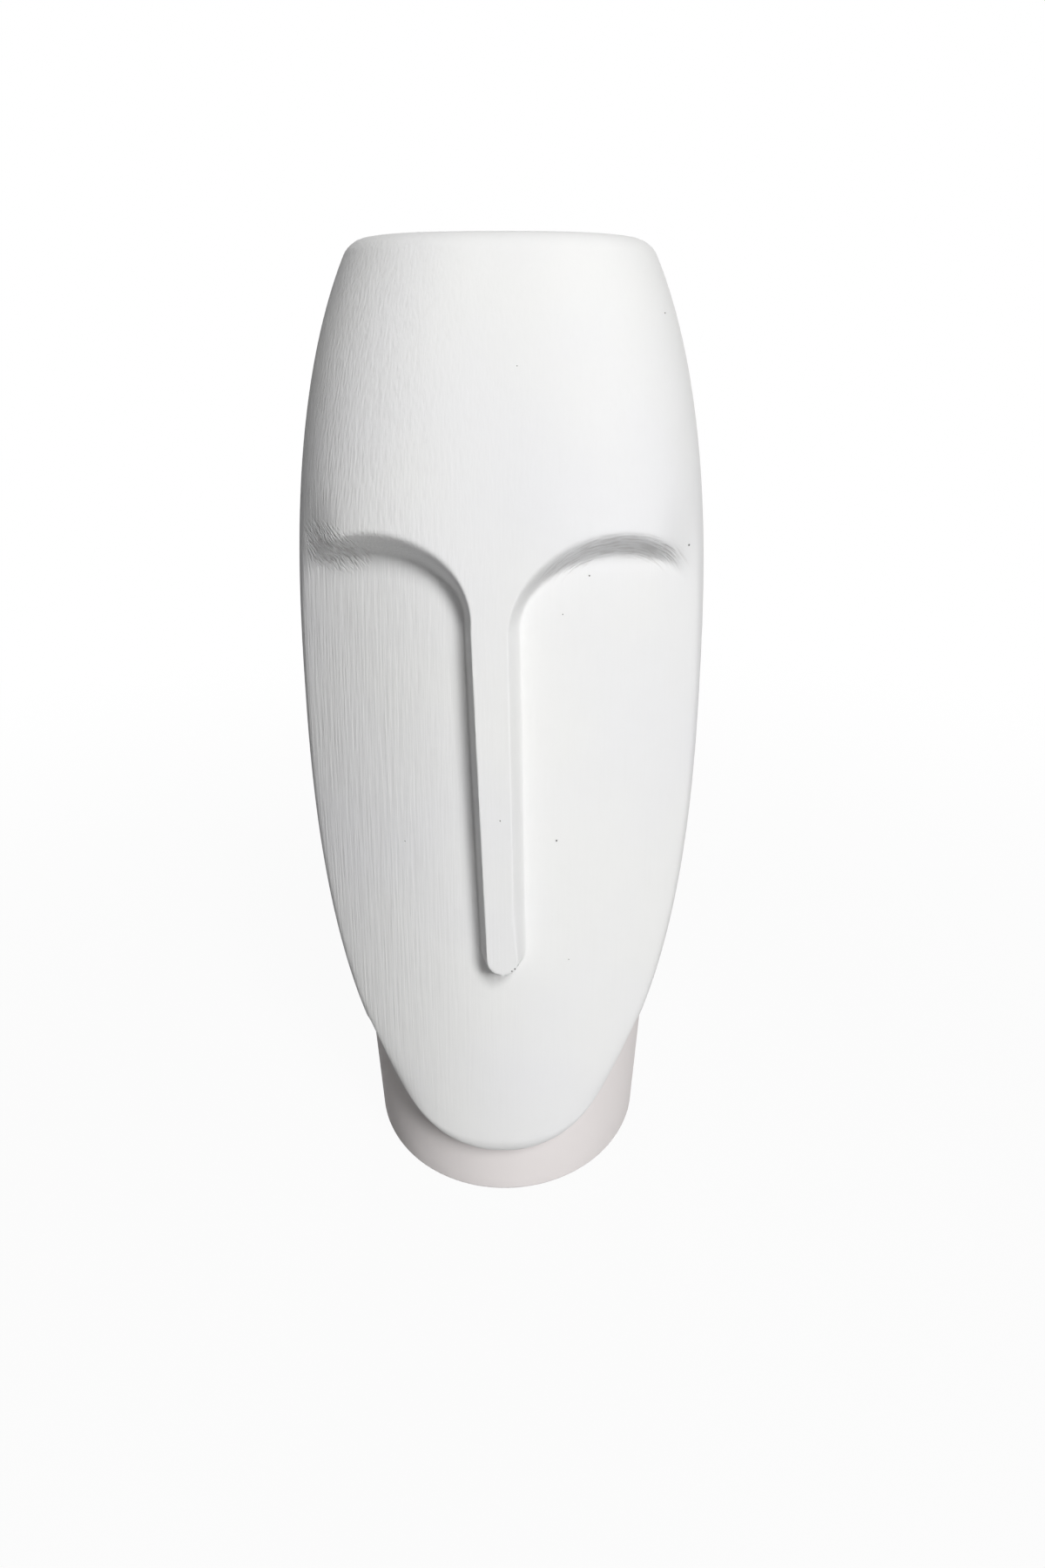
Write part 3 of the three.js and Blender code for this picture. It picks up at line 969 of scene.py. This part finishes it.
@dataclass
class CastBody:
    """The one-piece cast shell: sole, neck, head, lip, inside wall and floor.

    A run of columns, in degrees, or of rows is its first value, its end and its number of steps.
    """

    form: HeadForm
    finish: BrushedEngobe
    column_runs: tuple[Run, ...] = (
        (0, 3, 6), (3, 8.4, 26), (8.4, 12, 8), (12, 20, 15), (20, 57, 78), (57, 72, 15), (72, 180, 34),
    )
    # Shares of the way up the neck to the jaw's edge, and from that edge up to the face's foot.
    neck_runs: tuple[Run, ...] = ((0, 0.8, 5), (0.8, 1, 5))
    chin_runs: tuple[Run, ...] = ((0, 0.02, 6), (0.02, 0.14, 18), (0.14, 0.45, 12), (0.45, 1, 12))
    # From the face's foot, below the nose, the rows are level, with so many steps between the stops.
    below_nose: float = 6.5
    face_stops: tuple[float, ...] = (108.0, 190.0, 238.0)
    face_steps: tuple[int, ...] = (22, 28, 68, 21)
    # How far each step lies past the foot ring, and how far below the recess's top or above the sole.
    recess_steps: tuple[Pair, ...] = ((11.0, 0.0), (3.4, 0.0), (2.6, 0.3))
    ring_steps: tuple[Pair, ...] = ((0.5, 0.5), (-0.2, 0.1), (-1.2, 0.0))
    sole_margin: float = 2.0
    edge_turns: tuple[float, ...] = (0, 18, 36, 54, 72)
    lip_outside: float = 3.96
    lip_outside_turns: tuple[float, ...] = (12, 24, 36, 48, 60, 72, 90)
    lip_inside: float = 1.1
    lip_inside_turns: tuple[float, ...] = (90, 60, 30, 0)
    piece: Piece | None = None

    def columns(self) -> Array:
        """Bearings of the columns, closer together at the nose and over the face."""
        half = spread(*self.column_runs)
        return np.radians(np.concatenate([half, 360 - half[-2::-1]]))

    def face_foot(self) -> float:
        """Height of the lowest level row."""
        return self.form.nose_tip - self.below_nose

    def face_rings(self, columns: Array) -> list[Array]:
        """Rings from below the nose to the lip, closer together at the tip and the brows.

        Args:
            columns: Bearings of the columns.

        Returns:
            The rings from the bottom to the top.
        """
        stops = (self.face_foot(), *self.face_stops, self.form.height - self.lip_outside)
        heights = spread(*zip(stops, stops[1:], self.face_steps))
        return [self.form.outside(columns, np.full_like(columns, z)) for z in heights]

    def jaw_rings(self, columns: Array) -> list[Array]:
        """Rings up the neck to the jaw's edge, and from there over the chin to below the nose.

        Args:
            columns: Bearings of the columns.

        Returns:
            The rings from the bottom to the top.
        """
        foot, edge = self.form.sole + self.form.foot_edge, self.form.jaw_height(columns)
        heights = [foot + (edge - foot) * t for t in spread(*self.neck_runs)]
        heights += [edge + (self.face_foot() - edge) * t for t in spread(*self.chin_runs)[1:-1]]
        return [self.form.outside(columns, z) for z in heights]

    def sole_rings(self, columns: Array) -> list[Array]:
        """Rings of the underside.

        Args:
            columns: Bearings of the columns.

        Returns:
            The rings from the middle of the recess to the foot's rounded edge.
        """
        form = self.form
        steps = [(form.foot_ring + past, form.foot_recess - below) for past, below in self.recess_steps]
        steps += [(form.foot_ring + past, lift) for past, lift in self.ring_steps]
        steps.append((form.foot_edge + self.sole_margin, 0.0))
        for turn in np.radians(self.edge_turns):
            steps.append((form.foot_edge * (1 - math.sin(turn)), form.foot_edge * (1 - math.cos(turn))))
        rings = [np.zeros((len(columns), 3)) + [0, 0, form.sole + form.foot_recess]]
        for inset, lift in steps:
            ring = form.outside(columns, np.full_like(columns, form.sole), inset)
            ring[:, 2] = form.sole + lift
            rings.append(ring)
        return rings

    def lip_rings(self, columns: Array) -> list[Array]:
        """Rings over the rounded lip.

        Args:
            columns: Bearings of the columns.

        Returns:
            The rings from the outside to the inside.
        """
        form, rings = self.form, []
        for surface, radius, way, turns in ((form.outside, self.lip_outside, 1, self.lip_outside_turns),
                                            (form.inside, self.lip_inside, -1, self.lip_inside_turns)):
            for turn in np.radians(turns):
                z = np.full_like(columns, form.height - radius * (1 - math.sin(turn)))
                rings.append(surface(columns, z, way * radius * (1 - math.cos(turn))))
        return rings

    def build(self) -> Piece:
        """Models the shell.

        Returns:
            The new piece.
        """
        columns = self.columns()
        rings = self.sole_rings(columns)
        rings += self.jaw_rings(columns)
        rings += self.face_rings(columns)
        rings += self.lip_rings(columns)
        rings += inside_rings(self.form, columns, 0.0)
        self.piece = skin_from_rings("cast_body", rings, self.form.depth_shift)
        return self.piece

    def dress(self) -> None:
        """Gives the shell its engobe."""
        dress(self.piece, self.finish.material(), "ceramic_body")


# Steps down the wall between its stops, turns round the fillet, and shares of the way across the floor.
WALL_STEPS = (8, 10, 6)
FILLET_TURNS = (15, 30, 45, 60, 75, 90)
FLOOR_SHARES = (0.6, 0.25, 0.0)


def inside_rings(form: HeadForm, columns: Array, inset: float) -> list[Array]:
    """Rings from the glaze's upper edge down the wall, round the fillet and over the floor to its middle.

    Args:
        form: Sizes of the head.
        columns: Bearings of the columns.
        inset: How far the rings are drawn in from the wall and lifted from the floor.

    Returns:
        The rings from the top to the middle of the floor.
    """
    well = form.sole + form.foot_recess + form.floor + inset
    stops = (form.height - form.glaze_drop, form.brow_height, form.neck_top, well + form.floor_fillet)
    heights = spread(*zip(stops, stops[1:], WALL_STEPS))
    rings = [form.inside(columns, np.full_like(columns, z), inset) for z in heights]
    for turn in np.radians(FILLET_TURNS):
        z = np.full_like(columns, well + form.floor_fillet * (1 - math.sin(turn)))
        rings.append(form.inside(columns, z, inset + form.floor_fillet * (1 - math.cos(turn))))
    last = rings[-1]
    middle = np.array([0.0, 0.0, well])
    return rings + [middle + (last - middle) * part for part in FLOOR_SHARES]


@dataclass
class GlazeLining:
    """Thin glass shell inside the vase, from just under the lip to the floor."""

    form: HeadForm
    finish: PouredGlaze
    bed: float = 0.3
    thickness: float = 0.7
    column_count: int = 144
    crest_turns: tuple[float, ...] = (30, 60, 90, 120, 150)
    piece: Piece | None = None

    def build(self) -> Piece:
        """Models the lining.

        Returns:
            The new piece.
        """
        columns = np.radians(np.linspace(0, 360, self.column_count + 1))
        top = np.full_like(columns, self.form.height - self.form.glaze_drop)
        rings = inside_rings(self.form, columns, self.bed)[::-1]
        for turn in np.radians(self.crest_turns):
            ring = self.form.inside(columns, top, self.bed + self.thickness / 2 * (1 - math.cos(turn)))
            rings.append(ring + [0, 0, self.thickness / 2 * math.sin(turn)])
        rings += inside_rings(self.form, columns, self.bed + self.thickness)
        self.piece = skin_from_rings("poured_lining", rings, self.form.depth_shift)
        return self.piece

    def dress(self) -> None:
        """Gives the lining its glaze."""
        dress(self.piece, self.finish.material(), "glaze_lining")


@dataclass
class FootPads:
    """Four round felt pads under the foot ring."""

    finish: WoolFelt
    nodes: tuple[str, ...] = (
        "foot_pad_front_left", "foot_pad_front_right", "foot_pad_back_left", "foot_pad_back_right",
    )
    sides: int = 64
    edge: float = 0.25
    edge_steps: int = 3
    crease: float = 40.0
    pieces: list[Piece] = field(default_factory=list)

    def build(self) -> list[Piece]:
        """Models one pad and copies it to the four places.

        Returns:
            The four pieces.
        """
        low, high = (Vector(corner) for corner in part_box(self.nodes[0]))
        radius, thickness = (high.x - low.x) / 2, high.z - low.z
        bpy.ops.object.select_all(action="DESELECT")
        bpy.ops.mesh.primitive_cylinder_add(vertices=self.sides, radius=radius, depth=thickness)
        first = bpy.context.object
        bpy.ops.object.mode_set(mode="EDIT")
        bpy.ops.mesh.select_mode(type="FACE")
        bpy.ops.mesh.select_all(action="SELECT")
        bpy.ops.mesh.bevel(offset=self.edge * MM, segments=self.edge_steps, affect="EDGES")
        bpy.ops.object.mode_set(mode="OBJECT")
        bpy.ops.object.shade_smooth_by_angle(angle=math.radians(self.crease))
        for node in self.nodes:
            low, high = (Vector(corner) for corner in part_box(node))
            pad = bpy.data.objects.new(node.replace("foot_pad", "felt_pad"), first.data.copy())
            pad.data.transform(Matrix.Translation((low + high) / 2))
            bpy.context.collection.objects.link(pad)
            self.pieces.append(pad)
        bpy.data.objects.remove(first)
        return self.pieces

    def dress(self) -> None:
        """Gives the pads their felt."""
        material = self.finish.material()
        for node, pad in zip(self.nodes, self.pieces):
            dress(pad, material, node)


@dataclass(frozen=True)
class SoftLamp:
    """One soft studio lamp, aimed at the vase. Lengths are in metres, angles in degrees."""

    name: str
    bearing: float
    elevation: float
    power: float
    distance: float = 3.0
    size: float = 0.7
    aim: Triple = (0.0, 0.0, 0.16)

    def build(self) -> Piece:
        """Adds the lamp.

        Returns:
            The new lamp.
        """
        turn, rise = math.radians(self.bearing), math.radians(self.elevation)
        away = Vector((math.sin(turn) * math.cos(rise), -math.cos(turn) * math.cos(rise), math.sin(rise)))
        light = bpy.data.lights.new(self.name, "AREA")
        light.shape = "DISK"
        light.size = self.size
        light.energy = self.power
        lamp = bpy.data.objects.new(self.name, light)
        lamp.location = Vector(self.aim) + away * self.distance
        lamp.rotation_euler = (-away).to_track_quat("-Z", "Y").to_euler()
        bpy.context.collection.objects.link(lamp)
        return lamp


@dataclass
class Studio:
    """Pale floor, white surroundings, soft lamps and the camera.

    Lengths are in metres and angles in degrees, with the camera's place, lens and sensor in millimetres.
    """

    lamps: tuple[SoftLamp, ...] = (
        SoftLamp("key_right", bearing=28, elevation=25, power=36),
        SoftLamp("key_middle", bearing=20, elevation=33, power=20),
        SoftLamp("key_high", bearing=20, elevation=42.5, power=34),
        SoftLamp("fill_left", bearing=-60, elevation=50, power=2.6),
        SoftLamp("back", bearing=180, elevation=8, power=60),
    )
    floor_size: float = 6.0
    floor_paint: str = "#B8B8B8"
    # The floor is all but white near the vase, where it keeps the shadow, and white further off.
    white_from: Pair = (0.12, 0.7)
    white_share: Pair = (0.95, 1.0)
    camera_place: Triple = (10.9, -365.3, 279.05)
    pitch: float = 22.27
    heading: float = 1.70
    roll: float = -0.43
    turn: float = 0.864
    lens: float = 26.0
    sensor: float = 36.0
    clip_start: float = 0.01

    def camera(self) -> None:
        """Sets the camera at the photograph's viewing angle."""
        data = bpy.data.cameras.new("front_camera")
        data.sensor_width = self.sensor
        data.sensor_fit = "AUTO"
        data.lens = self.lens
        data.clip_start = self.clip_start
        camera = bpy.data.objects.new("front_camera", data)
        right, level = swing(Vector((1, 0, 0)), Vector((0, 1, 0)), math.radians(self.heading))
        up, ahead = swing(Vector((0, 0, 1)), level, math.radians(self.pitch))
        right, up = swing(right, up, math.radians(self.roll))
        ahead, right = swing(ahead, right, math.radians(self.turn))
        axes = Matrix((right, up, -ahead)).transposed()
        camera.matrix_world = Matrix.Translation(Vector(self.camera_place) * MM) @ axes.to_4x4()
        bpy.context.collection.objects.link(camera)
        bpy.context.scene.camera = camera

    def surroundings(self) -> None:
        """White to the eye and in a gloss, with no even light on the vase."""
        world = bpy.data.worlds.new("studio")
        world.use_nodes = True
        tree = world.node_tree
        tree.nodes.clear()
        white = add_node(tree, "Background", None,
                         {"Color": linear(WHITE), "Strength": eye_rays(tree)})
        add_node(tree, "OutputWorld", None, {"Surface": white.outputs[0]})
        bpy.context.scene.world = world

    def floor(self) -> None:
        """Pale floor that keeps a faint shadow."""
        bpy.ops.object.select_all(action="DESELECT")
        bpy.ops.mesh.primitive_plane_add(size=self.floor_size)
        floor = bpy.context.object
        floor.name = "studio_floor"
        material = bpy.data.materials.new("pale_floor")
        material.use_nodes = True
        tree = material.node_tree
        tree.nodes.clear()
        paint = add_node(tree, "BsdfDiffuse", None, {"Color": linear(self.floor_paint)})
        glow = add_node(tree, "Emission", None, {"Color": linear(WHITE), "Strength": 1.0})
        where = add_node(tree, "TexCoord")
        away = add_node(tree, "VectorMath", {"operation": "LENGTH"}, {0: where.outputs["Object"]})
        white = faded(tree, eye_rays(tree), Fade(away.outputs["Value"], self.white_from, self.white_share))
        mix = add_node(tree, "MixShader", None, {0: white, 1: paint.outputs[0], 2: glow.outputs[0]})
        add_node(tree, "OutputMaterial", None, {"Surface": mix.outputs[0]})
        floor.data.materials.append(material)

    def build(self) -> None:
        """Sets up floor, surroundings, lamps and camera."""
        self.floor()
        self.surroundings()
        for lamp in self.lamps:
            lamp.build()
        self.camera()
        bpy.context.scene.view_settings.view_transform = "Standard"


def main() -> None:
    """Builds and dresses the vase in order."""
    logging.basicConfig(level=logging.INFO, format="%(name)s: %(message)s")
    form = HeadForm()
    for part in (CastBody(form, BrushedEngobe()), GlazeLining(form, PouredGlaze()), FootPads(WoolFelt())):
        part.build()
        part.dress()
    Studio().build()


if __name__ == "__main__":
    main()
